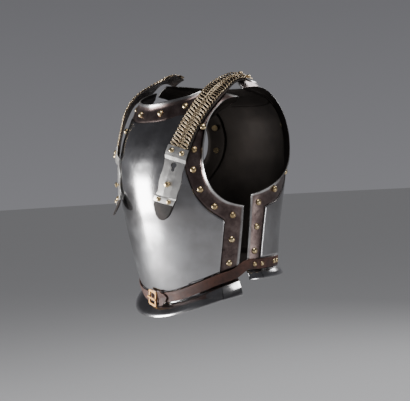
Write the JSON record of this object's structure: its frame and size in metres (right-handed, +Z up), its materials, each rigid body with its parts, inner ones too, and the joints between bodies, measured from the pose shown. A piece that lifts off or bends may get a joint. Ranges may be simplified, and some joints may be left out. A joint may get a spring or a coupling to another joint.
{
  "type": "cuirass",
  "caption": "Cavalry cuirass: polished steel breastplate and backplate with riveted dark border bands, chain-covered shoulder straps and a buckled leather waist belt.",
  "frame": {"origin": "seat between the shoulders, on the body's middle line, where the wearer carries the armour", "axes": "+Z up, the front of the body faces -Y, the wearer's left is +X"},
  "size_m": [0.3526, 0.3607, 0.4929],
  "materials": {
    "steel": "polished field, dark brown patina on the border band",
    "rivet_brass": "worn polished brass",
    "chain_brass": "dull brass links",
    "bracket_brass": "worn brass",
    "strap_plate_metal": "bright pale plated metal",
    "strap_leather": "dark brown, dull",
    "belt_leather": "reddish brown, worn",
    "buckle_brass": "orange-brown tarnished brass"
  },
  "bodies": {
    "root": {"breastplate": "steel", "backplate": "steel", "breastplate_rivet_1_left": "rivet_brass", "breastplate_rivet_1_right": "rivet_brass", "breastplate_rivet_2_left": "rivet_brass", "breastplate_rivet_2_right": "rivet_brass", "breastplate_rivet_3_left": "rivet_brass", "breastplate_rivet_3_right": "rivet_brass", "breastplate_rivet_4_left": "rivet_brass", "breastplate_rivet_4_right": "rivet_brass", "breastplate_rivet_5_left": "rivet_brass", "breastplate_rivet_5_right": "rivet_brass", "breastplate_rivet_6_left": "rivet_brass", "breastplate_rivet_6_right": "rivet_brass", "breastplate_rivet_7_left": "rivet_brass", "breastplate_rivet_7_right": "rivet_brass", "breastplate_rivet_8_left": "rivet_brass", "breastplate_rivet_8_right": "rivet_brass", "breastplate_rivet_9_left": "rivet_brass", "breastplate_rivet_9_right": "rivet_brass", "breastplate_rivet_10_left": "rivet_brass", "breastplate_rivet_10_right": "rivet_brass", "backplate_rivet_1_left": "rivet_brass", "backplate_rivet_1_right": "rivet_brass", "backplate_rivet_2_left": "rivet_brass", "backplate_rivet_2_right": "rivet_brass", "backplate_rivet_3_left": "rivet_brass", "backplate_rivet_3_right": "rivet_brass", "backplate_rivet_4_left": "rivet_brass", "backplate_rivet_4_right": "rivet_brass", "backplate_rivet_5_left": "rivet_brass", "backplate_rivet_5_right": "rivet_brass", "backplate_rivet_6_left": "rivet_brass", "backplate_rivet_6_right": "rivet_brass", "backplate_rivet_7_left": "rivet_brass", "backplate_rivet_7_right": "rivet_brass", "backplate_rivet_8_left": "rivet_brass", "backplate_rivet_8_right": "rivet_brass", "backplate_rivet_9_left": "rivet_brass", "backplate_rivet_9_right": "rivet_brass", "backplate_rivet_10_left": "rivet_brass", "backplate_rivet_10_right": "rivet_brass", "strap_leather_left": "strap_leather", "strap_chain_left": "chain_brass", "strap_tip_left": "strap_leather", "strap_plate_left": "strap_plate_metal", "strap_bracket_left": "bracket_brass", "strap_leather_right": "strap_leather", "strap_chain_right": "chain_brass", "strap_tip_right": "strap_leather", "strap_plate_right": "strap_plate_metal", "strap_bracket_right": "bracket_brass", "belt_left": "belt_leather", "belt_right": "belt_leather", "buckle_chape": "belt_leather", "buckle_frame": "buckle_brass", "buckle_prong": "buckle_brass", "stud_left": "rivet_brass", "stud_right": "rivet_brass"}
  },
  "joints": []
}
